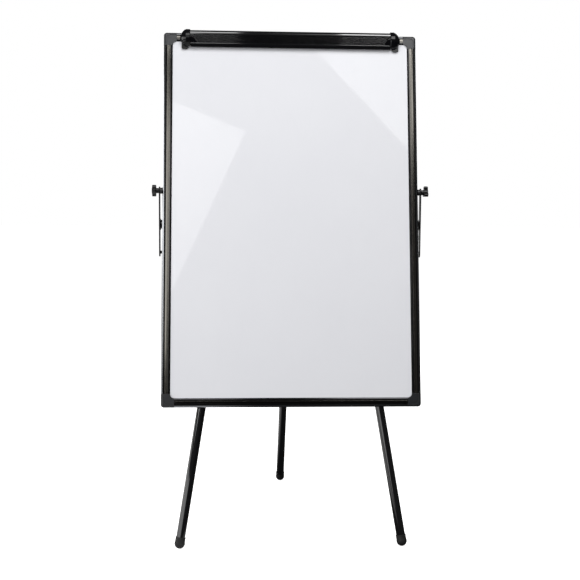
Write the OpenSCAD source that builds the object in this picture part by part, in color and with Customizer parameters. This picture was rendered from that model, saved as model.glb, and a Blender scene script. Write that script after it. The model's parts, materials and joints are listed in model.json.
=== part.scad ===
// Tripod flipchart easel. A framed dry-erase board tilts between two side plates of a
// U-shaped yoke. The yoke's crossbar carries three folding, telescoping legs, and a
// sprung paper clamp runs along the board's top rail.
// The front faces -Y, +Z is up, and the origin is on the floor at the footprint's centre.

/* [Board] */
// Outer width of the framed board
board_w = 640; // [600:5:660]
// Outer height of the framed board
board_h = 940; // [900:5:1000]
// Depth of the frame from front to back
frame_d = 20; // [20:0.5:24]
// Face width of the frame rails
rail_w = 23; // [22:0.5:26]
// Reach of a corner cap along each side
cap_reach = 33; // [31:1:40]
// Outer radius of a corner cap
cap_r = 8; // [7:0.5:10]
// How far the board leans back from upright, in degrees
lean = 10.5; // [9:0.5:12]

/* [Yoke] */
// Height of the tilt axis above the floor
pivot_z = 870; // [860:1:900]
// Distance of the tilt axis below the board's top edge
pivot_drop = 403; // [390:1:420]
// Distance of the tilt axis behind the front feet
pivot_back = 128; // [120:1:136]
// Width of a side plate from front to back
plate_w = 15; // [14:0.5:20]
// Thickness of a side plate
plate_t = 3; // [2:0.5:4]
// Gap between the board's side and a side plate
side_gap = 6; // [5:0.5:8]
// Length of a side plate below the tilt axis
plate_drop = 164; // [155:1:175]
// Distance of the crossbar below the tilt axis
bar_drop = 84; // [80:1:90]
// Distance of the crossbar behind the tilt axis
bar_back = 21; // [19:0.5:24]
// Outer diameter of the crossbar tube
bar_od = 22; // [20:0.5:24]

/* [Legs] */
// Distance between the front feet
foot_span = 546; // [500:2:600]
// Distance from the front feet to the rear foot
foot_depth = 594; // [540:2:620]
// Distance between the front legs' hinges
hinge_span = 312; // [260:2:330]
// Outer diameter of the upper leg tubes
upper_od = 25; // [25:0.5:28]
// Outer diameter of the lower leg tubes
lower_od = 22; // [20:0.5:22]
// Length of an upper leg tube
upper_len = 384; // [340:2:390]
// Length of lower leg tube held inside the upper tube
inserted_len = 320; // [200:5:330]
// Wall thickness of all tubes
tube_wall = 1.2; // [1:0.1:1.2]
// Radius of the ball under a foot
foot_r = 12.8; // [12.4:0.2:16]

/* [Clamp] */
// Length of the clamp bar between its end caps
clamp_len = 506; // [480:2:520]
// Radius of the clamp bar's rounded top
clamp_top_r = 9; // [8.5:0.5:10]
// Radius of a clamp end cap
clamp_cap_r = 23; // [22:0.5:24]
// Length of a clamp end cap
clamp_cap_len = 26.5; // [24:0.5:30]

/* [Knobs] */
// Overall diameter of a side knob
knob_d = 32; // [28:1:36]
// Thickness of a side knob's head
knob_t = 10; // [8:0.5:12]
// Length of a side knob's neck
knob_neck = 7; // [5:0.5:9]

/* [Hidden] */
$fn = 48;

fit = 0.05;       // running clearance, on a radius or a face
loose = 0.15;     // assembly clearance
past = 1;         // how far a cutting tool runs past a face

// Frame rail section, measured inward from the outer edge and back from the front.
wall = 2;                    // rail wall thickness
box_w = 12.4;                // width of the rail's hollow outer box
edge_r = 6;                  // radius on the rail's outer edges
groove_in = 6;               // start of the decorative groove
groove_w = 3;                // width of the groove
groove_deep = 1;             // depth of the groove
strip_in = 13;               // end of the face's tilted strip, which starts at the groove
strip_deep = 0.5;            // drop of the tilted strip at the groove
line_in = 15.6;              // start of a fine line in the face
lip_bevel = 3;               // width of the bevel on the inner lip
panel_front = 2.1;           // the panel's front face behind the frame's front
panel_t = 10;                // thickness of the whole panel
sheet_t = 0.5;               // thickness of the writing and backing sheets
panel_edge = box_w + 0.2;    // the panel's edge, inward from the frame's edge
panel_w = board_w - 2 * panel_edge;
panel_h = board_h - 2 * panel_edge;
back_lip = panel_front + panel_t + 0.2;   // front of the lip behind the panel
fillet_r = cap_reach - rail_w;
cap_proud = 0.6;             // how far a corner cap stands over the rails' faces
plug_len = 28;               // length of a corner cap's plug inside a rail
front_y = -frame_d / 2;      // the frame's front face in the board's frame
pivot_up = board_h - pivot_drop;

// The yoke and where it stands. The feet are centred on the origin from front to back.
foot_y = foot_depth / 2;
pivot_y = pivot_back - foot_y;
bar_y = pivot_y + bar_back;
bar_z = pivot_z - bar_drop;
bar_wall = 1.5;
plate_x = board_w / 2 + side_gap;    // inner face of a side plate
plate_rise = 10;                     // side plate's reach above the tilt axis
lug_r = 14;                          // radius of the lug that holds the crossbar
stud_d = 8;
knob_x = plate_x + plate_t + 0.1;    // start of the knob's neck
bumper_drop = plate_drop - 11;       // stop bumper below the tilt axis
peg_d = 8;                           // stop peg behind the frame
peg_y = -2;                          // stop peg relative to the tilt axis
bumper_r = 4.4;
bumper_in = 8;                       // stop pad's distance from the board's side
plug_bar_len = 30;                   // crossbar plug length
screw_d = 6;                         // crossbar end screw

// Leg geometry. A front leg lies in a plane through the crossbar that leans by leg_lean,
// and splays outward in it. The rear leg lies in the middle plane.
foot_flat = 0.4;                     // height cut off the ball as a flat
ball_z = foot_r - foot_flat;
hinge_drop = 34;                     // leg hinge below the crossbar's centre
leg_rise = bar_z - ball_z;
leg_lean = atan((bar_y + foot_y) / leg_rise);
plane_len = norm([bar_y + foot_y, leg_rise]) - hinge_drop;
splay_x = (foot_span - hinge_span) / 2;
splay = atan(splay_x / plane_len);
front_len = norm([plane_len, splay_x]);
rear_lean = atan((foot_y - bar_y) / leg_rise);
rear_len = norm([foot_y - bar_y, leg_rise]) - hinge_drop;

upper_start = 18;                    // top end of the upper tube below the hinge
upper_end = upper_start + upper_len;
collar_r = 15;
collar_up = 24;                      // collar's grip on the upper tube
collar_down = 16;                    // collar's guide below the upper tube
lock_s = upper_end + 8;              // lock screw's distance below the hinge
lock_d = 6;
lock_tip = 0.1;                      // gap between the lock screw and the lower tube
boss_out = 21;                       // end of the lock screw's boss, from the leg's axis
bush_len = 18;
foot_socket = 4;                     // the lower tube ends this far below the ball's centre
foot_body = 15;                      // foot height above the ball's centre
foot_rim = 2.5;                      // height of the raised rim around the foot's top
foot_waist = 0.6;                    // how far the foot's sides lie inside the ball

ear_gap = 14;                        // inside width of a leg bracket
ear_t = 3;
ear_r = 11;
ring_r = 16;                         // outer radius of a leg bracket's ring
ring_len = 26;
tongue_t = 13.6;
tongue_r = 9;
bolt_d = 6;
bolt_head = 3.2;

// Clamp section, in the board's frame with Z measured from the board's lower edge.
rod = [front_y - 7, board_h - 5.7];              // axis of the hinge rod and the bar's top
rod_d = 4;
clamp_t = 2.2;                                   // wall of the clamp bar
face_tilt = 9.5;                                 // how far the face's top leans downward
face_r = 90;                                     // radius of the bar's gently curved face
face_c = rod + (face_r - clamp_top_r) * [cos(face_tilt), sin(face_tilt)];
shoulder_z = rod[1] - clamp_top_r * sin(face_tilt);
lip_top = board_h - 30;                          // where the face meets the finger lip
lip_bottom = board_h - 39;
lip_back = front_y - 4.8;
cap_axis = [front_y + 2, board_h - 14.8];        // axis of the end caps' domes
knuckle_r = 3.9;
back_cut = front_y - 4.5;                        // the bar's and the caps' rear edges
base_t = 2;
base_bottom = board_h - 35;
base_top = board_h - 4;
cap_wall = 2;                                    // end wall and shell of an end cap
ear_x = clamp_len / 2 + cap_wall + 0.3;          // inner face of a clamp bracket's ear
ear_thick = 3;
dome_over = 1.6;                                 // dome's radius beyond the cap's radius
wing_len = 15;                                   // length of the cap's wing over the bar
wing_t = 0.8;                                    // how far the wing stands over the bar
ridge_n = 18;
ridge_r = 0.45;
coil_r = 3.9;
coil_wire = 0.6;
coil_turns = 5;
coil_pitch = 1.6;

knob_lobes = 3;
lock_lobes = 5;

module tube(od, wall, len) {
    difference() {
        cylinder(d = od, h = len);
        translate([0, 0, -past]) cylinder(d = od - 2 * wall, h = len + 2 * past);
    }
}

module along_x() { rotate([0, 90, 0]) children(); }
module along_y() { rotate([-90, 0, 0]) children(); }

// Puts children given in the board's frame in place. X is centred, Y is 0 at the frame's
// mid depth, and Z is 0 at the board's lower edge.
module on_board() {
    translate([0, pivot_y, pivot_z])
        rotate([-lean, 0, 0])
            translate([0, 0, -pivot_up])
                children();
}

// Lobed hand knob: along +Z, with rounded lobes and a round neck at its base.
module lobed_knob(d, lobe_r, core_r, neck_d, neck_len, head_t, lobes, turn) {
    rim_r = 2.5;
    union() {
        cylinder(d = neck_d, h = neck_len + past);
        translate([0, 0, neck_len])
            intersection() {
                rotate([0, 0, turn])
                    linear_extrude(head_t)
                        union() {
                            circle(r = core_r);
                            for (i = [0:lobes - 1])
                                rotate(i * 360 / lobes) union() {
                                    translate([d / 2 - lobe_r, 0]) circle(r = lobe_r);
                                    translate([0, -lobe_r])
                                        square([d / 2 - lobe_r, 2 * lobe_r]);
                                }
                        }
                rotate_extrude()
                    union() {
                        square([d / 2 - rim_r, head_t]);
                        translate([0, rim_r]) square([d / 2, head_t - 2 * rim_r]);
                        translate([d / 2 - rim_r, rim_r]) circle(r = rim_r);
                        translate([d / 2 - rim_r, head_t - rim_r]) circle(r = rim_r);
                    }
            }
    }
}

// Pan-head screw along -Z, with its head above Z = 0.
module pan_screw(d, head_d, head_t, len) {
    difference() {
        union() {
            translate([0, 0, -len]) cylinder(d = d, h = len + head_t / 2);
            rotate_extrude()
                intersection() {
                    square([head_d / 2, head_t]);
                    translate([0, -head_d * 0.45]) circle(r = head_d * 0.45 + head_t);
                }
        }
        for (a = [0, 90])
            rotate([0, 0, a])
                translate([-head_d * 0.3, -d * 0.1, head_t * 0.45])
                    cube([head_d * 0.6, d * 0.2, head_t]);
    }
}

// ---- Frame ----

// Hollow of a rail's outer box, shrunk all round by a gap, in the rail section's X and Y.
module rail_hollow(gap) {
    skin = wall + gap;
    union() {
        for (x = [edge_r, frame_d - edge_r])
            translate([x, edge_r]) circle(r = edge_r - skin);
        translate([edge_r, skin]) square([frame_d - 2 * edge_r, box_w - 2 * skin]);
        translate([skin, edge_r]) square([frame_d - 2 * skin, box_w - skin - edge_r]);
    }
}

// Rail section: X is back from the frame's front face, Y is inward from the outer edge.
module rail_section() {
    bevel_in = rail_w - lip_bevel;
    groove_end = groove_in + groove_w;
    difference() {
        union() {
            for (x = [edge_r, frame_d - edge_r])
                translate([x, edge_r]) circle(r = edge_r);
            translate([edge_r, 0]) square([frame_d - 2 * edge_r, box_w]);
            translate([0, edge_r]) square([frame_d, box_w - edge_r]);
            translate([0, box_w - past]) square([wall, bevel_in - box_w + past]);
            polygon([[0, bevel_in - 0.01], [wall - 0.6, rail_w], [wall, rail_w],
                [wall, bevel_in - 0.01]]);
            translate([back_lip, box_w - past]) square([wall, rail_w - box_w - 3]);
        }
        rail_hollow(0);
        translate([-past, groove_in]) square([groove_deep + past, groove_w]);
        translate([-past, line_in]) square([past + 0.3, 0.6]);
        polygon([[-past, groove_end - 0.01], [strip_deep, groove_end - 0.01],
            [0, strip_in], [-past, strip_in]]);
    }
}

// A rail along +X from 0 to len, with its outer edge at Z = 0 and its inner edge above.
module rail(len) {
    rotate([90, 0, 90]) linear_extrude(len) translate([front_y, 0]) rail_section();
}

module bottom_rail_shape() {
    translate([-board_w / 2 + cap_reach, 0, 0]) rail(board_w - 2 * cap_reach);
}

module rail_bottom() {
    color("#232425") on_board() difference() {
        bottom_rail_shape();
        rail_end_holes(board_w);
    }
}

module rail_top() {
    color("#232425") on_board() difference() {
        translate([0, 0, board_h]) mirror([0, 0, 1]) difference() {
            bottom_rail_shape();
            rail_end_holes(board_w);
        }
        for (x = base_screw_x)
            translate([x, front_y - past, base_screw_z])
                along_y() cylinder(d = 3 + 2 * fit, h = wall + 2 * past);
    }
}

module side_rail_shape() {
    translate([-board_w / 2, 0, board_h - cap_reach])
        rotate([0, 90, 0]) rail(board_h - 2 * cap_reach);
}

module rail_left() {
    color("#232425") on_board() difference() {
        side_rail_shape();
        translate([-board_w / 2, 0, board_h / 2]) rotate([0, 90, 0])
            rail_end_holes(board_h);
        translate([-board_w / 2 - past, 0, pivot_up])
            along_x() cylinder(d = stud_d + 2 * loose, h = wall + 2 * past);
    }
}

module rail_right() {
    mirror([1, 0, 0]) rail_left();
}

screw_in = cap_reach + plug_len / 2;      // corner screw's distance from the corner
screw_edge = 7.4;                         // corner screw's distance from the outer edge

// Screw holes in the back wall near both ends of a rail of full outer length len.
module rail_end_holes(len) {
    for (s = [-1, 1])
        translate([s * (len / 2 - screw_in), -front_y - wall - past, screw_edge])
            along_y() cylinder(d = 3 + 2 * fit, h = wall + 2 * past);
}

// Section of a corner cap's leg: X is the depth, centred, and Y is inward.
module cap_section() {
    half = frame_d / 2 + cap_proud;
    union() {
        for (s = [-1, 1])
            translate([s * (half - edge_r), edge_r]) circle(r = edge_r);
        translate([edge_r - half, 0]) square([2 * (half - edge_r), cap_reach]);
        translate([-half, edge_r]) square([2 * half, cap_reach - edge_r]);
    }
}

// Outside of a corner cap: two rounded legs, a revolved corner and a concave inner fillet.
module cap_outside() {
    half = frame_d / 2 + cap_proud;
    difference() {
        union() {
            for (m = [0, 1])
                mirror([m, 0, -m])
                    rotate([90, 0, 90])
                        translate([0, 0, cap_r]) linear_extrude(cap_reach - cap_r) cap_section();
            translate([cap_r, 0, cap_r]) rotate([90, 0, 0]) rotate_extrude() intersection() {
                union() {
                    for (s = [-1, 1])
                        translate([cap_r - edge_r, s * (half - edge_r)]) circle(r = edge_r);
                    translate([0, -half]) square([cap_r - edge_r, 2 * half]);
                    translate([0, edge_r - half]) square([cap_r, 2 * (half - edge_r)]);
                }
                translate([0, -half]) square([cap_r, 2 * half]);
            }
        }
        translate([cap_reach, 0, cap_reach])
            along_y() cylinder(r = fillet_r, h = 4 * half, center = true);
    }
}

// One corner cap at the board's lower left, outer corner at X = 0, Z = 0, reaching +X, +Z.
module corner_cap_shape() {
    union() {
        difference() {
            cap_outside();
            // Slot that takes the panel's corner, open towards the middle of the board.
            translate([panel_edge - 0.1, front_y + panel_front - 0.1, panel_edge - 0.1])
                cube([cap_reach, panel_t + 0.3, cap_reach]);
            // The back is open behind the panel's slot, like the rails.
            translate([box_w, front_y + back_lip + wall, box_w])
                cube([cap_reach, frame_d, cap_reach]);
            // Groove that follows the corner.
            translate([0, front_y - cap_proud + groove_deep, 0]) rotate([90, 0, 0])
                linear_extrude(groove_deep + past)
                    difference() {
                        corner_ring(groove_in);
                        corner_ring(groove_in + groove_w);
                    }
        }
        for (m = [0, 1])
            mirror([m, 0, -m])
                rotate([90, 0, 90])
                    translate([front_y, 0, cap_reach - past])
                        linear_extrude(plug_len + past) rail_hollow(loose);
    }
}

// Rounded square area whose edge runs at the given distance inside the corner.
module corner_ring(inset) {
    groove_r = 12;
    union() {
        translate([inset + groove_r, inset + groove_r]) circle(r = groove_r);
        translate([inset + groove_r, inset]) square([cap_reach, groove_r + past]);
        translate([inset, inset + groove_r]) square([groove_r + past, cap_reach]);
        translate([inset + groove_r, inset + groove_r]) square([cap_reach, cap_reach]);
    }
}

// Places a corner cap: side -1 is left, level 0 is the bottom and 1 is the top.
module corner_cap(side, level) {
    color("#2b2b2c") on_board()
        translate([side * board_w / 2, 0, level * board_h])
            mirror([side > 0 ? 1 : 0, 0, 0])
                mirror([0, 0, level])
                    difference() {
                        corner_cap_shape();
                        for (m = [0, 1])
                            mirror([m, 0, -m])
                                translate([screw_in, 0, screw_edge])
                                    along_y() cylinder(d = 3 + 2 * fit, h = frame_d);
                    }
}

module corner_cap_top_left() { corner_cap(-1, 1); }
module corner_cap_top_right() { corner_cap(1, 1); }
module corner_cap_bottom_left() { corner_cap(-1, 0); }
module corner_cap_bottom_right() { corner_cap(1, 0); }

// One layer of the panel, from depth y0 behind the frame's front face.
module panel_layer(y0, t) {
    on_board()
        translate([-panel_w / 2, front_y + y0, panel_edge]) cube([panel_w, t, panel_h]);
}

module writing_sheet() { color("#e8e8ec") panel_layer(panel_front, sheet_t); }

module panel_core() {
    color("#b98f5e") panel_layer(panel_front + sheet_t + fit,
        panel_t - 2 * sheet_t - 2 * fit);
}

module backing_sheet() {
    color("#9a9c9e") panel_layer(panel_front + panel_t - sheet_t, sheet_t);
}

// Clamp base screws share their size with the corner screws.
base_screw_x = [-210, -70, 70, 210];
base_screw_z = board_h - 8.5;

module frame_screws() {
    color("#8d8f92") on_board() {
        for (level = [0, 1], s = [-1, 1])
            translate([s * (board_w / 2 - screw_in), frame_d / 2 + fit,
                level * board_h + (1 - 2 * level) * screw_edge])
                rotate([-90, 0, 0]) pan_screw(3, 6, 2, 9);
        for (s = [-1, 1], level = [0, 1])
            translate([s * (board_w / 2 - screw_edge), frame_d / 2 + fit,
                level * board_h + (1 - 2 * level) * screw_in])
                rotate([-90, 0, 0]) pan_screw(3, 6, 2, 9);
        for (x = base_screw_x)
            translate([x, front_y - base_t - 2 * fit, base_screw_z])
                rotate([90, 0, 0]) pan_screw(3, 6, 1.8, 9);
    }
}

// Threaded blocks inside the side rails, which the knobs' studs screw into.
module knob_inserts() {
    insert_len = 24;
    color("#8d8f92") on_board()
        for (s = [-1, 1])
            mirror([s > 0 ? 1 : 0, 0, 0])
                difference() {
                    translate([-board_w / 2, 0, pivot_up + insert_len / 2]) rotate([0, 90, 0])
                        rotate([90, 0, 90])
                            translate([front_y, 0, 0]) linear_extrude(insert_len) rail_hollow(loose);
                    translate([-board_w / 2, 0, pivot_up])
                        along_x() cylinder(d = stud_d + 2 * fit, h = 60, center = true);
                }
}

module pivot_spacers() {
    color("#1d1e20") translate([0, pivot_y, pivot_z])
        for (s = [-1, 1])
            rotate([0, s * 90, 0])
                translate([0, 0, board_w / 2 + fit])
                    difference() {
                        cylinder(d = 15, h = side_gap - 2 * fit);
                        translate([0, 0, -past])
                            cylinder(d = stud_d + 2 * fit, h = side_gap + 2 * past);
                    }
}

// ---- Paper clamp ----

// Runs a section drawn in the board's Y and Z along X, centred.
module run_x(len) {
    rotate([90, 0, 90]) translate([0, 0, -len / 2]) linear_extrude(len) children();
}

module clamp_base() {
    color("#1b1c1e") on_board() difference() {
        run_x(clamp_len - 14) union() {
            translate([front_y - base_t - fit, base_bottom])
                square([base_t, base_top - base_bottom]);
            translate([front_y - base_t - fit, base_bottom])
                square([base_t + 1.6, 3]);
        }
        for (x = base_screw_x)
            translate([x, front_y - base_t - past, base_screw_z])
                along_y() cylinder(d = 3 + 2 * fit, h = base_t + 2 * past);
    }
}

// Clamp bracket on one side: a plate on the frame's face whose rounded tab shows under the
// end cap, and an ear that carries the rod's end.
module clamp_bracket(side) {
    tab_w = 17;
    tab_r = 5;
    tab_low = board_h - 43.5;
    tab_x = clamp_len / 2 + clamp_cap_len / 2;
    color("#1b1c1e") on_board() mirror([side > 0 ? 1 : 0, 0, 0])
        difference() {
            union() {
                translate([-tab_x, front_y - fit, tab_low]) rotate([90, 0, 0])
                    linear_extrude(base_t) union() {
                        for (s = [-1, 1])
                            translate([s * (tab_w / 2 - tab_r), tab_r]) circle(r = tab_r);
                        translate([tab_r - tab_w / 2, 0]) square([tab_w - 2 * tab_r, tab_r]);
                        translate([-tab_w / 2, tab_r]) square([tab_w, 34]);
                    }
                translate([-ear_x - ear_thick, 0, 0]) rotate([90, 0, 90])
                    linear_extrude(ear_thick) union() {
                        translate(rod) circle(r = 4);
                        translate([rod[0], rod[1] - 4])
                            square([front_y - fit - rod[0], 4.5]);
                        translate([rod[0] + 1, rod[1] - 10])
                            square([front_y - fit - rod[0] - 1, 8]);
                    }
            }
            translate([-ear_x - ear_thick - past, rod[0], rod[1]])
                along_x() cylinder(d = rod_d + 2 * fit, h = ear_thick + 2 * past);
        }
}

module clamp_bracket_left() { clamp_bracket(-1); }
module clamp_bracket_right() { clamp_bracket(1); }

module clamp_rod() {
    rod_len = 2 * (ear_x + ear_thick + 2);
    color("#a5a7aa") on_board()
        translate([-rod_len / 2, rod[0], rod[1]]) along_x() cylinder(d = rod_d, h = rod_len);
}

// Torsion spring around the rod's axis: a helix of short straight wire pieces with two
// tangent arms, as one swept skin.
module torsion_spring(x0) {
    sides = 6;
    steps_per_turn = 12;
    n = coil_turns * steps_per_turn;
    arm = 9;
    path = concat(
        [[x0, rod[0] + coil_r, rod[1] - arm]],
        [for (i = [0:n]) [x0 + coil_pitch * i / steps_per_turn,
            rod[0] + coil_r * cos(i * 360 / steps_per_turn),
            rod[1] + coil_r * sin(i * 360 / steps_per_turn)]],
        [[x0 + coil_turns * coil_pitch, rod[0] + coil_r - 6, rod[1] - arm]]);
    last = len(path) - 1;
    points = [for (i = [0:last])
        let (d = path[min(i + 1, last)] - path[max(i - 1, 0)],
            t = d / norm(d),
            u0 = cross(t, [1, 0, 0]),
            u = u0 / norm(u0),
            v = cross(t, u))
        for (k = [0:sides - 1])
            path[i] + coil_wire * (cos(k * 360 / sides) * u + sin(k * 360 / sides) * v)];
    polyhedron(points, concat(
        [[for (k = [0:sides - 1]) k]],
        [for (i = [0:last - 1], k = [0:sides - 1])
            let (a = i * sides + k, b = i * sides + (k + 1) % sides)
            [a, a + sides, b + sides, b]],
        [[for (k = [sides - 1:-1:0]) last * sides + k]]));
}

module clamp_springs() {
    color("#a5a7aa") on_board()
        for (x = [-clamp_len / 2 + 12, clamp_len / 2 - 12 - coil_turns * coil_pitch])
            torsion_spring(x);
}

// Area inside the bar's outline, moved inward by inset, from a lower level up to the top.
module clamp_outline(inset, low) {
    union() {
        intersection() {
            translate(rod) circle(r = clamp_top_r - inset);
            translate([back_cut - 60, shoulder_z]) square([60, 40]);
        }
        intersection() {
            translate(face_c) circle(r = face_r - inset);
            translate([back_cut - 60, low]) square([60, shoulder_z - low + 0.01]);
        }
    }
}

// Clamp bar section: a rounded top, a long ridged face and a finger lip, open at the back.
module clamp_bar_section() {
    difference() {
        union() {
            clamp_outline(0, lip_top);
            polygon([[front_y - 9.8, lip_top + 0.6], [front_y - 9.8, lip_top - 1],
                [front_y - 7, lip_bottom], [lip_back, lip_bottom], [lip_back, lip_top + 0.6]]);
            translate([front_y - 9.3, lip_top - 0.2]) circle(r = 1);
        }
        translate(rod) circle(r = clamp_top_r - clamp_t);
        intersection() {
            translate(face_c) circle(r = face_r - clamp_t);
            translate([back_cut - 60, lip_top + 0.6])
                square([60 + past, rod[1] - lip_top - 0.6]);
        }
        for (i = [0:ridge_n - 1])
            translate(face_c)
                rotate(180 + face_tilt + 1.5 + i * 0.7)
                    translate([face_r + ridge_r * 0.3, 0]) circle(r = ridge_r);
    }
}

module clamp_bar() {
    knuckle_len = 18;
    color("#131416") on_board() difference() {
        union() {
            run_x(clamp_len) clamp_bar_section();
            for (x = [-150, 0, 150])
                translate([x, 0, 0]) run_x(knuckle_len) intersection() {
                    union() {
                        translate(rod) circle(r = knuckle_r);
                        translate([rod[0] - clamp_top_r, rod[1] - 2])
                            square([clamp_top_r, 4]);
                    }
                    translate(rod) circle(r = clamp_top_r - clamp_t / 2);
                }
        }
        translate([-clamp_len / 2 - past, rod[0], rod[1]])
            along_x() cylinder(d = rod_d + 2 * fit, h = clamp_len + 2 * past);
    }
}

// Rubber strip behind the bar's lip, which presses on the paper.
module clamp_grip() {
    color("#3a3b3d") on_board() run_x(clamp_len - 16)
        translate([lip_back + fit, lip_bottom + 0.8]) square([2, 8]);
}

// Profile of an end cap, turned about the cap's axis: X is the radius and Y runs from the
// bar to the tip. The rim's corner is bevelled and the tip is a dome.
module cap_profile(r, len, dome_r, bevel) {
    intersection() {
        polygon([[0, 0], [r - bevel, 0], [r, bevel], [r, len], [0, len]]);
        translate([0, len - dome_r]) circle(r = dome_r);
    }
}

// Clamp end cap: a domed shell past the bar's end with a thin curved wing over the bar.
module clamp_cap(side) {
    dome_r = clamp_cap_r + dome_over;
    color("#161719") on_board() mirror([side > 0 ? 1 : 0, 0, 0])
        difference() {
            union() {
                translate([-clamp_len / 2, cap_axis[0], cap_axis[1]])
                    rotate([0, -90, 0])
                        rotate_extrude() cap_profile(clamp_cap_r, clamp_cap_len, dome_r, 1.2);
                // Wing: a curved tongue over the lower part of the bar's face.
                intersection() {
                    translate([-clamp_len / 2 - past, 0, 0]) rotate([90, 0, 90])
                        linear_extrude(wing_len + 2 * past) intersection() {
                            difference() {
                                translate(face_c) circle(r = face_r + wing_t);
                                translate(face_c) circle(r = face_r + fit);
                            }
                            translate([back_cut - 60, lip_top + 1.2])
                                square([60, wing_len]);
                        }
                    translate([-clamp_len / 2, back_cut - 60, lip_top])
                        along_y() cylinder(r = wing_len, h = 60);
                }
            }
            // Hollow of the dome, behind the end wall.
            translate([-clamp_len / 2 - cap_wall, cap_axis[0], cap_axis[1]])
                rotate([0, -90, 0]) rotate_extrude()
                    cap_profile(clamp_cap_r - 1.6 * cap_wall, clamp_cap_len - 2 * cap_wall,
                        dome_r - cap_wall, 0.1);
            // Room for the rod.
            translate([-clamp_len / 2 - clamp_cap_len, rod[0], rod[1]])
                along_x() cylinder(d = rod_d + 2 * loose, h = clamp_cap_len + past);
            // Open back.
            translate([-clamp_len / 2 - 60, back_cut, cap_axis[1] - 60]) cube([120, 80, 120]);
        }
}

module clamp_cap_left() { clamp_cap(-1); }
module clamp_cap_right() { clamp_cap(1); }

// ---- Side knobs ----

module side_knob(side, turn) {
    color("#17181a") translate([0, pivot_y, pivot_z]) rotate([0, side * 90, 0])
        difference() {
            translate([0, 0, knob_x])
                lobed_knob(knob_d, 4.2, 8.8, 13, knob_neck, knob_t, knob_lobes, turn);
            translate([0, 0, knob_x - past])
                cylinder(d = stud_d, h = knob_neck + knob_t - 3 + past);
        }
}

module knob_stud(side) {
    start = board_w / 2 - box_w + wall + 0.5;
    end = knob_x + knob_neck + knob_t - 3;
    color("#a5a7aa") translate([0, pivot_y, pivot_z]) rotate([0, side * 90, 0])
        translate([0, 0, start]) cylinder(d = stud_d, h = end - start);
}

module knob_left() { side_knob(-1, -90); }
module knob_right() { side_knob(1, 180); }
module knob_stud_left() { knob_stud(-1); }
module knob_stud_right() { knob_stud(1); }

// ---- Yoke ----

module crossbar() {
    color("#1d1e20") translate([-plate_x + fit, bar_y, bar_z])
        along_x() tube(bar_od, bar_wall, 2 * (plate_x - fit));
}

// Threaded plugs pressed into the crossbar's ends.
module crossbar_plugs() {
    color("#8d8f92") translate([0, bar_y, bar_z])
        for (s = [-1, 1])
            rotate([0, s * 90, 0])
                translate([0, 0, plate_x - plug_bar_len - 2 * fit])
                    difference() {
                        cylinder(d = bar_od - 2 * bar_wall, h = plug_bar_len);
                        translate([0, 0, 6])
                            cylinder(d = screw_d + 2 * fit, h = plug_bar_len);
                    }
}

// Side plate: an upright bar with round ends and a lug at the back for the crossbar.
module side_plate(side) {
    color("#1b1c1e") mirror([side < 0 ? 1 : 0, 0, 0])
        translate([plate_x, pivot_y, pivot_z])
            difference() {
                rotate([90, 0, 90])
                    linear_extrude(plate_t)
                        union() {
                            translate([0, plate_rise - plate_w / 2]) circle(d = plate_w);
                            translate([-plate_w / 2, plate_w / 2 - plate_drop])
                                square([plate_w, plate_drop + plate_rise - plate_w]);
                            translate([0, plate_w / 2 - plate_drop]) circle(d = plate_w);
                            translate([bar_back, -bar_drop]) circle(r = lug_r);
                            translate([0, -bar_drop - lug_r]) square([bar_back, 2 * lug_r]);
                        }
                translate([-past, 0, 0])
                    along_x() cylinder(d = stud_d + 2 * loose, h = plate_t + 2 * past);
                translate([-past, bar_back, -bar_drop])
                    along_x() cylinder(d = screw_d + 2 * loose, h = plate_t + 2 * past);
                translate([plate_t - 2.4, bar_back, -bar_drop]) along_x()
                    cylinder(d1 = screw_d + 2 * loose, d2 = 12.4, h = 2.5);
                translate([-past, peg_y, -bumper_drop])
                    along_x() cylinder(d = 5 + 2 * fit, h = plate_t + 2 * past);
            }
}

module side_plate_left() { side_plate(-1); }
module side_plate_right() { side_plate(1); }

// Countersunk screws that hold the plates to the crossbar's plugs.
module side_plate_screws() {
    color("#8d8f92") translate([0, bar_y, bar_z])
        for (s = [-1, 1])
            rotate([0, s * 90, 0])
                translate([0, 0, plate_x + plate_t - 0.1])
                    difference() {
                        union() {
                            translate([0, 0, -20]) cylinder(d = screw_d, h = 19);
                            translate([0, 0, -2.4]) cylinder(d1 = screw_d, d2 = 11.6, h = 2.4);
                        }
                        translate([0, 0, -1.6]) cylinder(d = 4.6, h = 3, $fn = 6);
                    }
}

// Steel pegs on the side plates' lower ends, which reach in behind the frame.
module stop_pegs() {
    color("#2a2b2d") translate([0, pivot_y, pivot_z - bumper_drop])
        for (s = [-1, 1])
            mirror([s < 0 ? 1 : 0, 0, 0]) {
                translate([board_w / 2 - box_w, peg_y, 0])
                    along_x() cylinder(d = peg_d, h = box_w + side_gap - fit);
                translate([plate_x - 2, peg_y, 0])
                    along_x() cylinder(d = 5, h = 2 + plate_t);
            }
}

// Rubber pads on the pegs, square to the board's back, which rests against them.
module stop_bumpers() {
    peg_back = peg_y * cos(lean) + bumper_drop * sin(lean);
    peg_up = peg_y * sin(lean) - bumper_drop * cos(lean);
    pad_start = frame_d / 2 + 0.2;
    color("#2a2b2d")
        difference() {
            on_board()
                for (s = [-1, 1])
                    translate([s * (board_w / 2 - bumper_in), pad_start, pivot_up + peg_up])
                        along_y() cylinder(r = bumper_r, h = peg_back - pad_start);
            translate([-board_w, pivot_y + peg_y, pivot_z - bumper_drop])
                along_x() cylinder(d = peg_d + 2 * fit, h = 2 * board_w);
        }
}

// ---- Leg brackets ----

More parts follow.
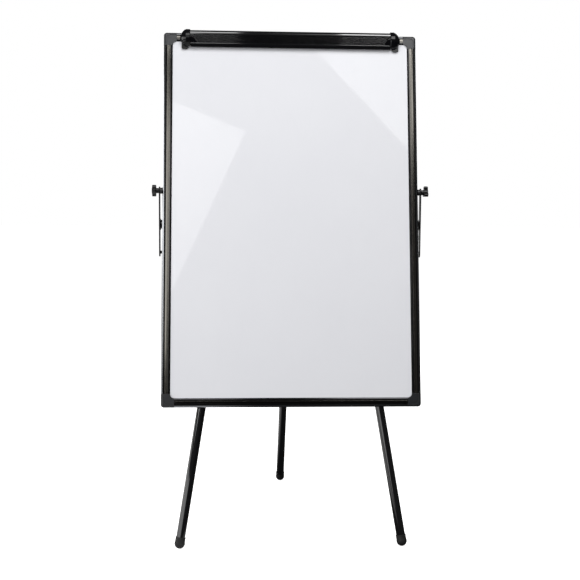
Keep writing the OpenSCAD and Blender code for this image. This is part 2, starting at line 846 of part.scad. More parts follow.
// Bracket around the crossbar with two ears below. The hinge's axis is local Y.
module leg_bracket() {
    difference() {
        union() {
            rotate([0, 90, 0]) cylinder(r = ring_r, h = ring_len, center = true);
            for (s = [-1, 1])
                translate([0, s * (ear_gap + ear_t) / 2, 0]) {
                    translate([-ear_r, -ear_t / 2, -hinge_drop])
                        cube([2 * ear_r, ear_t, hinge_drop]);
                    translate([0, 0, -hinge_drop])
                        along_y() cylinder(r = ear_r, h = ear_t, center = true);
                }
        }
        rotate([0, 90, 0]) cylinder(d = bar_od + 2 * fit, h = 2 * ring_len, center = true);
        translate([0, 0, -hinge_drop])
            along_y() cylinder(d = bolt_d + 2 * fit, h = 4 * ear_gap, center = true);
    }
}

// Rear bracket: the same ears, turned so that the hinge's axis is X.
module rear_bracket_shape() {
    difference() {
        union() {
            rotate([0, 90, 0]) cylinder(r = ring_r, h = ring_len, center = true);
            for (s = [-1, 1])
                translate([s * (ear_gap + ear_t) / 2, 0, 0]) {
                    translate([-ear_t / 2, -ear_r, -hinge_drop])
                        cube([ear_t, 2 * ear_r, hinge_drop]);
                    translate([0, 0, -hinge_drop])
                        along_x() cylinder(r = ear_r, h = ear_t, center = true);
                }
        }
        rotate([0, 90, 0]) cylinder(d = bar_od + 2 * fit, h = 2 * ring_len, center = true);
        translate([0, 0, -hinge_drop])
            along_x() cylinder(d = bolt_d + 2 * fit, h = 4 * ear_gap, center = true);
    }
}

// Frame of a front leg's bracket: -Z runs down the leaning plane of the front legs.
module front_plane(side) {
    translate([side * hinge_span / 2, bar_y, bar_z]) rotate([-leg_lean, 0, 0]) children();
}

module rear_plane() {
    translate([0, bar_y, bar_z]) rotate([rear_lean, 0, 0]) children();
}

// Frame of a leg: origin on the hinge's axis, -Z down the leg. which is -1 for the left
// leg, 1 for the right leg and 0 for the rear leg.
module leg_frame(which) {
    if (which == 0)
        rear_plane() translate([0, 0, -hinge_drop]) children();
    else
        front_plane(which)
            translate([0, 0, -hinge_drop]) rotate([0, -which * splay, 0]) children();
}

function leg_len(which) = which == 0 ? rear_len : front_len;

module leg_bracket_left() { color("#232426") front_plane(-1) leg_bracket(); }
module leg_bracket_right() { color("#232426") front_plane(1) leg_bracket(); }
module leg_bracket_rear() { color("#232426") rear_plane() rear_bracket_shape(); }

// Hinge bolt along +Z through both ears, centred on them, with its head at the far end.
module hinge_bolt() {
    half = ear_gap / 2 + ear_t;
    union() {
        translate([0, 0, -half - 6]) cylinder(d = bolt_d, h = 2 * half + 6 + fit);
        translate([0, 0, half + fit]) rotate_extrude() intersection() {
            square([5.2, bolt_head]);
            translate([0, -3]) circle(r = 3 + bolt_head);
        }
    }
}

// Turns a fastener drawn along +Z onto each leg hinge in turn.
module at_leg_hinges() {
    for (side = [-1, 1])
        front_plane(side) translate([0, 0, -hinge_drop]) rotate([-90, 0, 0]) children();
    rear_plane() translate([0, 0, -hinge_drop]) rotate([0, 90, 0]) children();
}

module leg_bolts() { color("#8d8f92") at_leg_hinges() hinge_bolt(); }

module leg_nuts() {
    color("#8d8f92") at_leg_hinges()
        translate([0, 0, -ear_gap / 2 - ear_t - fit - 5])
            difference() {
                cylinder(d = 11.5, h = 5, $fn = 6);
                translate([0, 0, -past]) cylinder(d = bolt_d + 2 * fit, h = 5 + 2 * past);
            }
}

// ---- Legs ----

module upper_tube(which) {
    color("#151618") leg_frame(which)
        translate([0, 0, -upper_end]) tube(upper_od, tube_wall, upper_len);
}

// Hinge plug: a tongue between the bracket's ears and a spigot in the upper tube.
module leg_plug(which) {
    spigot_len = 30;
    turn = which == 0 ? 90 : 0;
    color("#202123") leg_frame(which) rotate([0, 0, turn])
        difference() {
            union() {
                along_y() cylinder(r = tongue_r, h = tongue_t, center = true);
                translate([-tongue_r, -tongue_t / 2, -upper_start + 2])
                    cube([2 * tongue_r, tongue_t, upper_start - 2]);
                translate([0, 0, -upper_start + fit]) cylinder(d = upper_od, h = 4);
                translate([0, 0, -upper_start - spigot_len])
                    cylinder(d = upper_od - 2 * tube_wall - 2 * fit, h = spigot_len + 1);
            }
            along_y() cylinder(d = bolt_d + 2 * fit, h = 4 * tongue_t, center = true);
        }
}

// Collar on the upper tube's lower end, with the boss of the lock screw on its back.
module collar(which) {
    chamfer = 1.5;
    color("#1a1b1d") leg_frame(which)
        difference() {
            union() {
                translate([0, 0, -upper_end - collar_down]) rotate_extrude()
                    polygon([[0, 0], [collar_r - chamfer, 0], [collar_r, chamfer],
                        [collar_r, collar_up + collar_down - 3 * chamfer],
                        [upper_od / 2 + 1, collar_up + collar_down],
                        [0, collar_up + collar_down]]);
                translate([0, 0, -lock_s]) along_y() cylinder(r = 7, h = boss_out);
            }
            translate([0, 0, -upper_end - collar_down - past])
                cylinder(d = lower_od + 2 * fit, h = collar_down + 2 * past);
            translate([0, 0, -upper_end - fit])
                cylinder(d = upper_od + 2 * fit, h = collar_up + past);
            translate([0, 0, -lock_s])
                along_y() cylinder(d = lock_d + 2 * fit, h = boss_out + past);
        }
}

module lock_screw(which) {
    tip = lower_od / 2 + lock_tip;
    color("#17181a") leg_frame(which) translate([0, 0, -lock_s]) along_y() union() {
        translate([0, 0, tip]) cylinder(d = lock_d, h = boss_out - tip + past);
        translate([0, 0, boss_out + 0.3]) lobed_knob(22, 3.4, 9.2, 11, 3, 8, lock_lobes, 0);
    }
}

lower_start = upper_end - inserted_len;

module lower_tube(which) {
    lower_end = leg_len(which) + foot_socket;
    color("#101113") leg_frame(which)
        translate([0, 0, -lower_end]) tube(lower_od, tube_wall, lower_end - lower_start);
}

// Bush on top of the lower tube that slides in the upper tube.
module slide_bush(which) {
    spigot = 12;
    color("#4a4b4e") leg_frame(which) translate([0, 0, -lower_start]) union() {
        translate([0, 0, fit])
            cylinder(d = upper_od - 2 * tube_wall - 2 * fit, h = bush_len);
        translate([0, 0, -spigot])
            cylinder(d = lower_od - 2 * tube_wall - 2 * fit, h = spigot + past);
    }
}

// Rubber foot: a ball below, a straight body and a raised rim round the top.
module foot(which) {
    color("#0c0c0d")
        difference() {
            leg_frame(which) translate([0, 0, -leg_len(which)]) difference() {
                union() {
                    sphere(r = foot_r);
                    cylinder(r = foot_r - foot_waist, h = foot_body);
                    translate([0, 0, foot_body - foot_rim])
                        cylinder(r = foot_r - foot_waist / 2, h = foot_rim);
                }
                translate([0, 0, -foot_socket - fit])
                    cylinder(d = lower_od + 2 * fit, h = foot_socket + foot_body + past);
            }
            translate([0, 0, -foot_r]) cube([2 * board_w, 2 * board_w, 2 * foot_r], center = true);
        }
}

module upper_tube_left() { upper_tube(-1); }
module upper_tube_right() { upper_tube(1); }
module upper_tube_rear() { upper_tube(0); }
module leg_plug_left() { leg_plug(-1); }
module leg_plug_right() { leg_plug(1); }
module leg_plug_rear() { leg_plug(0); }
module collar_left() { collar(-1); }
module collar_right() { collar(1); }
module collar_rear() { collar(0); }
module lock_screw_left() { lock_screw(-1); }
module lock_screw_right() { lock_screw(1); }
module lock_screw_rear() { lock_screw(0); }
module lower_tube_left() { lower_tube(-1); }
module lower_tube_right() { lower_tube(1); }
module lower_tube_rear() { lower_tube(0); }
module slide_bush_left() { slide_bush(-1); }
module slide_bush_right() { slide_bush(1); }
module slide_bush_rear() { slide_bush(0); }
module foot_left() { foot(-1); }
module foot_right() { foot(1); }
module foot_rear() { foot(0); }

rail_top();
rail_bottom();
rail_left();
rail_right();
corner_cap_top_left();
corner_cap_top_right();
corner_cap_bottom_left();
corner_cap_bottom_right();
writing_sheet();
panel_core();
backing_sheet();
frame_screws();
knob_inserts();
pivot_spacers();
clamp_base();
clamp_bracket_left();
clamp_bracket_right();
clamp_rod();
clamp_springs();
clamp_bar();
clamp_cap_left();
clamp_cap_right();
clamp_grip();
knob_left();
knob_stud_left();
knob_right();
knob_stud_right();
crossbar();
crossbar_plugs();
side_plate_left();
side_plate_right();
side_plate_screws();
stop_pegs();
stop_bumpers();
leg_bracket_left();
leg_bracket_right();
leg_bracket_rear();
leg_bolts();
leg_nuts();
upper_tube_left();
leg_plug_left();
collar_left();
lock_screw_left();
lower_tube_left();
slide_bush_left();
foot_left();
upper_tube_right();
leg_plug_right();
collar_right();
lock_screw_right();
lower_tube_right();
slide_bush_right();
foot_right();
upper_tube_rear();
leg_plug_rear();
collar_rear();
lock_screw_rear();
lower_tube_rear();
slide_bush_rear();
foot_rear();
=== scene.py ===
import json
import math

import bpy
from mathutils import Matrix, Vector


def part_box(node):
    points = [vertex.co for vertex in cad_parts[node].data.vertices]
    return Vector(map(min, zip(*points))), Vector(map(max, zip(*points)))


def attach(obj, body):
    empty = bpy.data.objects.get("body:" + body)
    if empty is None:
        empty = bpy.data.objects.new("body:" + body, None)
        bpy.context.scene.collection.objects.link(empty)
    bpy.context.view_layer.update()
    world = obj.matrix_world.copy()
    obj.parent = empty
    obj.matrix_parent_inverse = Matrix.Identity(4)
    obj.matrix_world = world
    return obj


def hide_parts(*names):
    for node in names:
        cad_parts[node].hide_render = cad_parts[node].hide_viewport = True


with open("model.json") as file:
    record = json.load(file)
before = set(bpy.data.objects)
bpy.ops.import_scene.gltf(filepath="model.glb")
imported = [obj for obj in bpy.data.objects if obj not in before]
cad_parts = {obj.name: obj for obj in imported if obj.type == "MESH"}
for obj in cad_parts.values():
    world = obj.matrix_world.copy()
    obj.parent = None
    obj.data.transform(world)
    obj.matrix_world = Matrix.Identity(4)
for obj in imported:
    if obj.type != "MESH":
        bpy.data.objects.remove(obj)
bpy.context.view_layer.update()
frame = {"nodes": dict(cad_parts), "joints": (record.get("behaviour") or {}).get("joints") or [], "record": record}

MM = 0.001
NODES = frame["nodes"]
SLOTS = {row["node"]: row["material_slot"] for row in frame["record"]["subparts"]}
BODY_OF = {node: body
           for body, nodes in frame["record"]["behaviour"]["bodies"].items()
           for node in nodes}


# ---- Directions and places that come from the frame ----

def joint(name):
    return next(j for j in frame["joints"] if j["name"] == name)


SHEET_LOW, SHEET_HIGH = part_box("writing_sheet")
BOARD_UP = Vector((0, SHEET_HIGH.y - SHEET_LOW.y, SHEET_HIGH.z - SHEET_LOW.z)).normalized()
LEAN = math.atan2(BOARD_UP.y, BOARD_UP.z)
BOARD_BACK = Vector((0, BOARD_UP.z, -BOARD_UP.y))


def reach(name, direction):
    """How far a CAD piece reaches along a direction, in the row frame."""
    return max(direction.dot(v.co) for v in NODES[name].data.vertices)


BOARD_TOP = reach("rail_top", BOARD_UP)
BOARD_LOW = -reach("rail_bottom", -BOARD_UP)
BOARD_HALF = reach("rail_right", Vector((1, 0, 0)))

# The clamp bar's curved face is part of a circle about a line along X, FACE_AXIS. It touches
# the bar's rounded top, which is about the hinge rod, and is ridged below the shoulder.
TOP_RADIUS = 9 * MM
FACE_RADIUS = 90 * MM
FACE_TILT = math.radians(9.5)
FACE_AXIS = Vector(joint("clamp_open")["pos_m"]) + (FACE_RADIUS - TOP_RADIUS) * (
    math.cos(FACE_TILT) * BOARD_BACK + math.sin(FACE_TILT) * BOARD_UP)
SHOULDER_DROP = 15 * MM

# The rails' bands, measured inward from the frame's outer edge.
EDGE_END = 5.2 * MM
GROOVE_END = 9 * MM
STRIP_END = 11.8 * MM
LIP_START = 17.8 * MM
RAIL_END = 40 * MM


# ---- Materials ----

class Paint:
    """A node material built up call by call. Texture coordinates are the row frame's metres."""

    def __init__(self, name):
        self.material = bpy.data.materials.new(name)
        self.material.use_nodes = True
        self.tree = self.material.node_tree
        self.shader = self.tree.nodes["Principled BSDF"]
        self.place = self.tree.nodes.new("ShaderNodeTexCoord").outputs["Object"]

    def set(self, **inputs):
        """Sets inputs of the main shader: base_color means Base Color, and so on."""
        for key, value in inputs.items():
            self.feed(self.shader.inputs[key.replace("_", " ").title().replace("Ior", "IOR")], value)

    def feed(self, socket, value):
        """Links a socket, or sets a number, a vector or a colour, to which it adds alpha."""
        if isinstance(value, bpy.types.NodeSocket):
            self.tree.links.new(value, socket)
        elif isinstance(value, (int, float)):
            socket.default_value = value
        else:
            alpha = (1,) * (len(socket.default_value) - len(value))
            socket.default_value = tuple(value) + alpha

    def add(self, kind, settings=None, **inputs):
        """Adds a shader node; i0, i1 and so on are its inputs by number."""
        node = self.tree.nodes.new("ShaderNode" + kind)
        for key, value in (settings or {}).items():
            setattr(node, key, value)
        for key, value in inputs.items():
            name = key.replace("_", " ").title()
            socket = node.inputs[int(key[1:])] if key[0] == "i" and key[1:].isdigit() else node.inputs[name]
            self.feed(socket, value)
        return node

    def stretched(self, scale, tilt=0.0):
        """Coordinates scaled by a different amount along each axis, after turning them about X."""
        turned = self.add("Mapping", Vector=self.place, Rotation=(tilt, 0, 0)).outputs[0]
        return self.add("Mapping", Vector=turned, Scale=scale).outputs[0]

    def noise(self, scale, detail=2.0, rough=0.5, at=None, distort=0.0):
        node = self.add("TexNoise", Vector=at or self.place, Scale=scale, Detail=detail,
                        Roughness=rough, Distortion=distort)
        return node.outputs[0]

    def cells(self, scale, at=None, out="Color"):
        return self.add("TexVoronoi", Vector=at or self.place, Scale=scale).outputs[out]

    def math(self, operation, a, b=0.0):
        return self.add("Math", {"operation": operation}, i0=a, i1=b).outputs[0]

    def remap(self, value, low, high, to_low, to_high):
        node = self.add("MapRange", {"clamp": True}, Value=value)
        for name, number in (("From Min", low), ("From Max", high), ("To Min", to_low), ("To Max", to_high)):
            self.feed(node.inputs[name], number)
        return node.outputs[0]

    def mix(self, share, a, b):
        """Colour a where share is 0 and b where it is 1."""
        node = self.add("Mix", {"data_type": "RGBA"})
        self.feed(node.inputs["Factor"], share)
        self.feed(node.inputs[6], a)
        self.feed(node.inputs[7], b)
        return node.outputs[2]

    def bump(self, height, depth, strength=1.0, below=None, coat=False):
        """Bump whose height of 0 to 1 stands for depth metres; coat shapes the clear coat too."""
        node = self.add("Bump", Height=height, Distance=depth, Strength=strength)
        if below is not None:
            self.feed(node.inputs["Normal"], below)
        self.feed(self.shader.inputs["Normal"], node.outputs[0])
        if coat:
            self.feed(self.shader.inputs["Coat Normal"], node.outputs[0])
        return node.outputs[0]

    def rounded(self, radius):
        """Normal with every sharp edge rounded off by radius metres."""
        return self.add("Bevel", {"samples": 6}, Radius=radius).outputs[0]

    def crevice_shade(self, depth):
        """1 in the open, falling to 0 in grooves and corners about depth metres deep: a mask for painted shade."""
        node = self.add("AmbientOcclusion", {"samples": 6, "only_local": True}, Distance=depth)
        return self.remap(node.outputs["AO"], 0.35, 0.85, 0.0, 1.0)

    def edges(self, radius):
        """1 on sharp edges and 0 on flat stretches, from the rounded normal."""
        soft = self.add("Bevel", {"samples": 4}, Radius=radius).outputs[0]
        hard = self.add("NewGeometry").outputs["Normal"]
        node = self.add("VectorMath", {"operation": "DOT_PRODUCT"}, i0=soft, i1=hard)
        return self.remap(node.outputs["Value"], 0.80, 0.99, 1.0, 0.0)


def white_enamel():
    """Glossy dry-erase enamel with an orange-peel skin and the faint haze of wiping."""
    p = Paint("white_enamel")
    peel = p.noise(700, 2)
    broad = p.noise(3.2, 3, 0.6)
    wipe = p.noise(26, 5, 0.65, at=p.stretched((1, 1, 0.16), -LEAN), distort=0.7)
    tone = p.mix(p.remap(broad, 0.35, 0.68, 0.0, 1.0), (0.782, 0.787, 0.822), (0.800, 0.805, 0.838))
    p.set(base_color=p.mix(p.remap(wipe, 0.52, 0.78, 0.0, 0.16), tone, (0.740, 0.746, 0.782)),
          roughness=0.5, specular_ior_level=0.0, coat_weight=1.0,
          coat_roughness=p.remap(wipe, 0.4, 0.8, 0.012, 0.06))
    p.bump(peel, 0.000004, 0.3)
    return p.material


def band(p, value, start, end, blur=0.0002):
    """1 where value lies between start and end, and 0 elsewhere."""
    rise = p.remap(value, start - blur, start + blur, 0.0, 1.0)
    return p.math("MULTIPLY", rise, p.remap(value, end - blur, end + blur, 1.0, 0.0))


def anodised(name, along, tilt, tint):
    """Dark anodised rail: lines along one axis (0 is X, 2 is Z) and its profile's five bands.

    From the outer edge inward: the rounded edge, given a paler metal tint as a painted highlight;
    the groove, painted black as painted shade; the pale strip beside it, a painted highlight;
    the lined face; and the lip, painted dark as painted shade.
    """
    p = Paint(name)
    scale = [1.0, 1.0, 1.0]
    scale[along] = 0.004
    lines = p.noise(3600, 2, 0.6, at=p.stretched(scale, tilt))
    wide = p.noise(500, 2, 0.5, at=p.stretched(scale, tilt))
    grain = p.noise(9000, 1)
    cloud = p.noise(14, 3)
    if along == 0:
        up = p.add("VectorMath", {"operation": "DOT_PRODUCT"}, i0=p.place, i1=BOARD_UP).outputs["Value"]
        inward = p.math("MINIMUM", p.math("SUBTRACT", BOARD_TOP, up), p.math("SUBTRACT", up, BOARD_LOW))
    else:
        across = p.math("ABSOLUTE", p.add("SeparateXYZ", Vector=p.place).outputs["X"])
        inward = p.math("SUBTRACT", BOARD_HALF, across)
    worn = p.math("MULTIPLY", p.edges(0.0007), p.remap(cloud, 0.35, 0.7, 0.1, 0.4))
    base = p.mix(p.remap(lines, 0.3, 0.7, 0.0, 1.0), [c * 0.70 for c in tint], [c * 1.30 for c in tint])
    # Painted highlight: the strip beside the groove is tinted 1.45 times paler.
    base = p.mix(band(p, inward, GROOVE_END, STRIP_END), base, [c * 1.45 for c in tint])
    # Painted highlight: the rounded outer edge gets a paler metal tint, so that it reflects more.
    base = p.mix(band(p, inward, -1 * MM, EDGE_END), base, (0.20, 0.205, 0.215))
    # Painted shade: the lip next to the sheet is tinted near black.
    base = p.mix(band(p, inward, LIP_START, RAIL_END), base, (0.026, 0.026, 0.028))
    base = p.mix(worn, base, (0.30, 0.29, 0.275))
    # Painted shade: the groove is painted near black, with little shine.
    groove = band(p, inward, EDGE_END, GROOVE_END)
    p.set(base_color=p.mix(groove, base, (0.003, 0.003, 0.003)),
          metallic=p.remap(groove, 0, 1, 1.0, 0.2),
          specular_ior_level=p.remap(groove, 0, 1, 0.5, 0.1),
          roughness=p.remap(wide, 0.3, 0.7, 0.11, 0.17))
    p.bump(grain, 0.000006, 0.3, below=p.bump(lines, 0.00002, 0.4, below=p.rounded(0.0004)))
    return p.material


def moulded(name, tint, rough, grain_scale=2600, grain_depth=0.00004, worn=0.35, gloss=0.5):
    """Moulded plastic: spark-eroded grain, slight flow marks, rubbed, softened edges, painted shade in hollows."""
    p = Paint(name)
    grain = p.noise(grain_scale, 3, 0.6)
    flow = p.noise(45, 3, 0.55, distort=0.5)
    rub = p.math("MULTIPLY", p.edges(0.0006), worn)
    tone = p.mix(p.remap(flow, 0.35, 0.7, 0.0, 1.0), tint, [c * 1.35 for c in tint])
    skin = p.mix(rub, tone, [min(1.0, c * 2.5 + 0.02) for c in tint])
    # Painted shade: the colour falls to a quarter of the tint in grooves and corners.
    p.set(base_color=p.mix(p.crevice_shade(0.004), [c * 0.25 for c in tint], skin),
          specular_ior_level=gloss, roughness=p.remap(grain, 0.3, 0.7, rough - 0.07, rough + 0.08))
    p.bump(grain, grain_depth, 0.4, below=p.rounded(0.0006))
    return p.material


def gloss_black(name, along_x=False, gloss=1.8, ridged=False):
    """Gloss black skin with faint draw lines, hairline scratches and a little dust.

    The grooves between the clamp bar's ridges stay matt.
    """
    p = Paint(name)
    scale = (0.01, 1, 1) if along_x else (1, 1, 0.02)
    lines = p.noise(420, 2, 0.5, at=p.stretched(scale, -LEAN if along_x else 0.0))
    scratch_scale = (0.05, 1, 1) if along_x else (1, 1, 0.06)
    scratch = p.noise(700, 2, 0.5, at=p.stretched(scratch_scale), distort=0.3)
    dust = p.cells(1500, out="Distance")
    cloud = p.noise(18, 3)
    speck = p.math("MULTIPLY", p.remap(dust, 0.0, 0.10, 1.0, 0.0), p.remap(cloud, 0.5, 0.72, 0.0, 0.3))
    base = p.mix(p.remap(scratch, 0.66, 0.74, 0.0, 0.25), (0.0035, 0.0035, 0.0042), (0.022, 0.022, 0.024))
    shine = 1.0
    if ridged:
        out = p.add("VectorMath", {"operation": "SUBTRACT"}, i0=p.place, i1=FACE_AXIS).outputs[0]
        up = p.add("VectorMath", {"operation": "DOT_PRODUCT"}, i0=out, i1=BOARD_UP).outputs["Value"]
        below = p.remap(up, -SHOULDER_DROP - 0.2 * MM, -SHOULDER_DROP + 0.2 * MM, 1.0, 0.0)
        at = p.add("SeparateXYZ", Vector=out)
        radius = p.math("SQRT", p.math("ADD", p.math("MULTIPLY", at.outputs["Y"], at.outputs["Y"]),
                                       p.math("MULTIPLY", at.outputs["Z"], at.outputs["Z"])))
        groove = band(p, radius, FACE_RADIUS - 1.5 * MM, FACE_RADIUS - 0.05 * MM, 0.00003)
        shine = p.math("SUBTRACT", 1.0, p.math("MULTIPLY", groove, below))
    p.set(base_color=p.mix(speck, base, (0.05, 0.05, 0.048)), specular_ior_level=0.0, roughness=0.4,
          coat_weight=shine, coat_ior=gloss, coat_roughness=p.remap(cloud, 0.3, 0.7, 0.04, 0.09))
    p.bump(lines, 0.000004, 0.1, below=p.rounded(0.0005), coat=True)
    return p.material


def rubber():
    """Matt black rubber with a pitted skin and pale dust where it scuffs."""
    p = Paint("black_rubber")
    pits = p.noise(1900, 4, 0.7)
    scuff = p.noise(120, 4, 0.7, distort=0.8)
    dust = p.remap(scuff, 0.52, 0.8, 0.0, 0.5)
    p.set(base_color=p.mix(dust, (0.011, 0.011, 0.011), (0.055, 0.053, 0.050)),
          roughness=p.remap(pits, 0.3, 0.7, 0.62, 0.82), specular_ior_level=0.4)
    p.bump(pits, 0.00008, 0.6)
    return p.material


def zinc():
    """Zinc-plated steel: mottled, satin, with darker stains."""
    p = Paint("zinc_steel")
    mottle = p.noise(260, 4, 0.6)
    stain = p.noise(60, 3, 0.6)
    tint = (0.50, 0.51, 0.53)
    base = p.mix(p.remap(mottle, 0.3, 0.7, 0.0, 1.0), tint, [c * 0.78 for c in tint])
    p.set(base_color=p.mix(p.remap(stain, 0.55, 0.75, 0.0, 0.5), base, (0.30, 0.28, 0.24)),
          metallic=1.0, roughness=p.remap(mottle, 0.3, 0.7, 0.26, 0.42))
    p.bump(mottle, 0.00002, 0.5)
    return p.material


def galvanised():
    """Galvanised sheet: zinc spangle in angular crystals of different sheen."""
    p = Paint("zinc_steel_sheet")
    warp = p.add("VectorMath", {"operation": "SCALE"}, i0=p.noise(60, 2), Scale=0.01).outputs[0]
    at = p.add("VectorMath", {"operation": "ADD"}, i0=p.place, i1=warp).outputs[0]
    crystal = p.add("SeparateColor", Color=p.cells(150, at=at)).outputs[0]
    fine = p.noise(1400, 2)
    base = p.mix(crystal, (0.455, 0.465, 0.475), (0.545, 0.555, 0.565))
    p.set(base_color=base, metallic=0.9, roughness=p.remap(crystal, 0.0, 1.0, 0.43, 0.52))
    p.bump(fine, 0.00001, 0.4, below=p.bump(crystal, 0.00002, 0.25))
    return p.material


def card():
    """Raw honeycomb board: brown card fibres."""
    p = Paint("honeycomb_board")
    fibre = p.noise(900, 4, 0.6, at=p.stretched((1, 1, 0.2)))
    p.set(base_color=p.mix(fibre, (0.36, 0.25, 0.14), (0.52, 0.39, 0.24)), roughness=0.85)
    p.bump(fibre, 0.0001, 0.5)
    return p.material


MATERIALS = {
    "white_enamel": white_enamel(),
    # Painted shade: the across rails are the same anodised metal as the upright ones, tinted darker for how light
    # falls.
    "rail_across_shaded": anodised("rail_across_shaded", 0, -LEAN, (0.066, 0.063, 0.057)),
    "rail_upright": anodised("rail_upright", 2, LEAN, (0.128, 0.121, 0.108)),
    "corner_plastic": moulded("corner_plastic", (0.0125, 0.0135, 0.0158), 0.36),
    "black_nylon": moulded("black_nylon", (0.010, 0.010, 0.011), 0.45),
    "grey_nylon": moulded("grey_nylon", (0.16, 0.16, 0.17), 0.45, 1800),
    "knob_plastic": moulded("knob_plastic", (0.0040, 0.0040, 0.0045), 0.26, 2200, gloss=0.28),
    "black_steel": moulded("black_steel", (0.0045, 0.0045, 0.005), 0.28, 1500, 0.00003, 0.4, gloss=0.25),
    "clamp_plastic": gloss_black("clamp_plastic", along_x=True, gloss=1.3),
    "clamp_ridged": gloss_black("clamp_ridged", along_x=True, gloss=1.9, ridged=True),
    "tube_enamel": gloss_black("tube_enamel", gloss=1.7),
    "black_rubber": rubber(),
    "zinc_steel": zinc(),
    "zinc_steel_sheet": galvanised(),
    "honeycomb_board": card(),
}


def paint(obj, name):
    """Gives a CAD node its finished material."""
    obj.data.materials.clear()
    obj.data.materials.append(MATERIALS[name])


def stand_in(name):
    """Shows an unchanged copy of a CAD node in its place. Its name says rounded; its edges are not."""
    node = NODES[name]
    piece = bpy.data.objects.new(name + "_rounded", node.data.copy())
    piece.data.name = piece.name
    bpy.context.scene.collection.objects.link(piece)
    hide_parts(name)
    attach(piece, BODY_OF[name])


# The moulded, cast and pressed pieces that a stand-in shows.
STAND_IN_KINDS = ("knob", "corner_cap", "side_plate", "clamp_bracket", "lock_screw", "collar", "foot")
SIDES = ("left", "right", "rear", "top_left", "top_right", "bottom_left", "bottom_right")


def finish_cad_nodes():
    """Paints every CAD node from its slot; the ridged bar has its own look, and the across rails a darker tint
    than the upright ones, which is painted shade.
    """
    for name, obj in NODES.items():
        slot = SLOTS[name]
        if slot == "frame_aluminium":
            slot = "rail_across_shaded" if name in ("rail_top", "rail_bottom") else "rail_upright"
        if name == "clamp_bar":
            slot = "clamp_ridged"
        paint(obj, slot)


finish_cad_nodes()
for kind in STAND_IN_KINDS:
    for side in SIDES:
        if kind + "_" + side in NODES:
            stand_in(kind + "_" + side)


# ---- Stage: floor, lights and camera ----

ROOM_LIGHT = 0.28    # how bright the room is to matt surfaces
ROOM_GLOSS = 0.07    # and in reflections
FLOOR_GLOW = 0.80    # the floor's own light, which only the camera sees
FLOOR_HALF = 30


def make_floor():
    """White to the camera; to everything else a mid grey, so that the blacks stay deep."""
    mesh = bpy.data.meshes.new("floor")
    corners = [(x * FLOOR_HALF, y * FLOOR_HALF, 0) for x, y in ((-1, -1), (1, -1), (1, 1), (-1, 1))]
    mesh.from_pydata(corners, [], [(0, 1, 2, 3)])
    floor = bpy.data.objects.new("floor", mesh)
    bpy.context.scene.collection.objects.link(floor)
    p = Paint("floor")
    path = p.add("LightPath").outputs
    seen = path["Is Camera Ray"]
    fleck = p.noise(40, 3)
    dim = p.mix(path["Is Glossy Ray"], (0.34, 0.34, 0.34), (0.05, 0.05, 0.05))
    # A patch of floor left of the easel glows to glossy rays only: a painted reflection
    # that shows as a soft band on the glossy tubes.
    at = p.add("SeparateXYZ", Vector=p.place)
    left = p.math("MULTIPLY", p.remap(at.outputs["X"], -0.25, -0.08, 1.0, 0.0),
                  p.remap(at.outputs["Y"], -1.3, -1.0, 0.0, 1.0))
    reflection_glow = p.math("MULTIPLY", path["Is Glossy Ray"], p.math("MULTIPLY", left, 0.9))
    p.set(base_color=p.mix(seen, dim, p.mix(fleck, (0.88, 0.88, 0.88), (0.92, 0.92, 0.92))),
          roughness=0.9, specular_ior_level=0.0, emission_color=(1, 1, 1),
          emission_strength=p.math("ADD", p.math("MULTIPLY", seen, FLOOR_GLOW), reflection_glow))
    mesh.materials.append(p.material)


def make_world():
    """White to the camera, a soft room for matt surfaces and a dark one for reflections."""
    world = bpy.data.worlds.new("room")
    bpy.context.scene.world = world
    world.use_nodes = True
    tree = world.node_tree
    back = tree.nodes["Background"]
    path = tree.nodes.new("ShaderNodeLightPath")
    level = ROOM_LIGHT
    for kind, strength in (("Is Glossy Ray", ROOM_GLOSS), ("Is Camera Ray", 1.0)):
        mix = tree.nodes.new("ShaderNodeMix")
        tree.links.new(path.outputs[kind], mix.inputs[0])
        if isinstance(level, float):
            mix.inputs[2].default_value = level
        else:
            tree.links.new(level, mix.inputs[2])
        mix.inputs[3].default_value = strength
        level = mix.outputs[0]
    tree.links.new(level, back.inputs["Strength"])
    back.inputs["Color"].default_value = (1, 1, 1, 1)


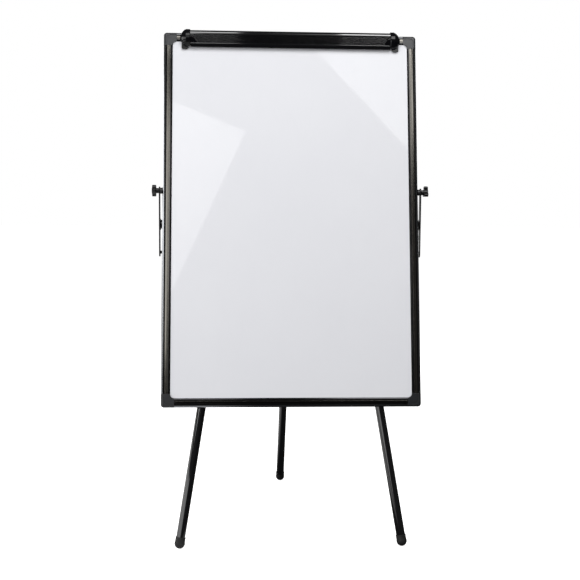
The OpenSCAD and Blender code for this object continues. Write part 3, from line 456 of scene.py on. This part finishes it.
def softbox(name, centre, width, height, radiance, lean=90, turn=0, roll=0):
    """Lit rectangle: lean 90 faces +Y and 0 faces down; turn is about Z and roll about Y."""
    light = bpy.data.lights.new(name, "AREA")
    light.shape = "RECTANGLE"
    light.size, light.size_y = width, height
    light.energy = radiance * math.pi * width * height
    lamp = bpy.data.objects.new(name, light)
    bpy.context.scene.collection.objects.link(lamp)
    lamp.matrix_world = (Matrix.Translation(centre) @ Matrix.Rotation(math.radians(turn), 4, "Z")
                         @ Matrix.Rotation(math.radians(roll), 4, "Y")
                         @ Matrix.Rotation(math.radians(lean), 4, "X"))
    lamp.visible_camera = False


def make_lights():
    # The two boxes show as slanting reflections on the sheet.
    softbox("box_left", (-1.0, -3.2, 1.91), 1.3, 1.7, 1.9, roll=23)
    softbox("box_right", (1.07, -3.2, 3.04), 1.8, 1.2, 2.1, roll=50.4)
    # The overhead lamps light the sheet and draw the streaks along the clamp.
    softbox("lamp_left", (-0.61, -1.79, 3.02), 0.98, 1.4, 4.5, lean=43)
    softbox("lamp_right", (0.84, -1.79, 3.02), 0.92, 1.4, 7.0, lean=43)
    # The low and side panels draw the lines along the legs and rails.
    softbox("low_left", (-1.62, -2.05, 0.27), 2.3, 0.5, 1.9, turn=-47.6)
    softbox("low_side", (-2.5, -0.2, 0.27), 2.4, 0.5, 1.6, turn=-90)
    softbox("side_left", (-2.5, 0.0, 1.32), 5.6, 0.85, 4.0, turn=-90)
    # These show the back when the easel is seen from behind.
    softbox("back_left", (-1.7, 3.0, 1.7), 1.6, 2.2, 3.2, turn=208)
    softbox("back_right", (1.7, 3.0, 1.7), 1.6, 2.2, 3.2, turn=152)


def make_camera():
    """A little left of the middle, turned right and looking down slightly."""
    spot = Vector((-0.1456, -2.6906, 0.8469))
    down, right, roll = (math.radians(angle) for angle in (5.08, 3.294, 0.41))
    data = bpy.data.cameras.new("camera")
    data.sensor_width = 36
    data.lens = 62.2
    data.clip_end = 100
    camera = bpy.data.objects.new("camera", data)
    bpy.context.scene.collection.objects.link(camera)
    turn = (Matrix.Rotation(-right, 4, "Z") @ Matrix.Rotation(math.pi / 2 - down, 4, "X")
            @ Matrix.Rotation(roll, 4, "Z"))
    camera.matrix_world = Matrix.Translation(spot) @ turn
    bpy.context.scene.camera = camera


make_floor()
make_world()
make_lights()
make_camera()
bpy.context.scene.view_settings.view_transform = "Standard"
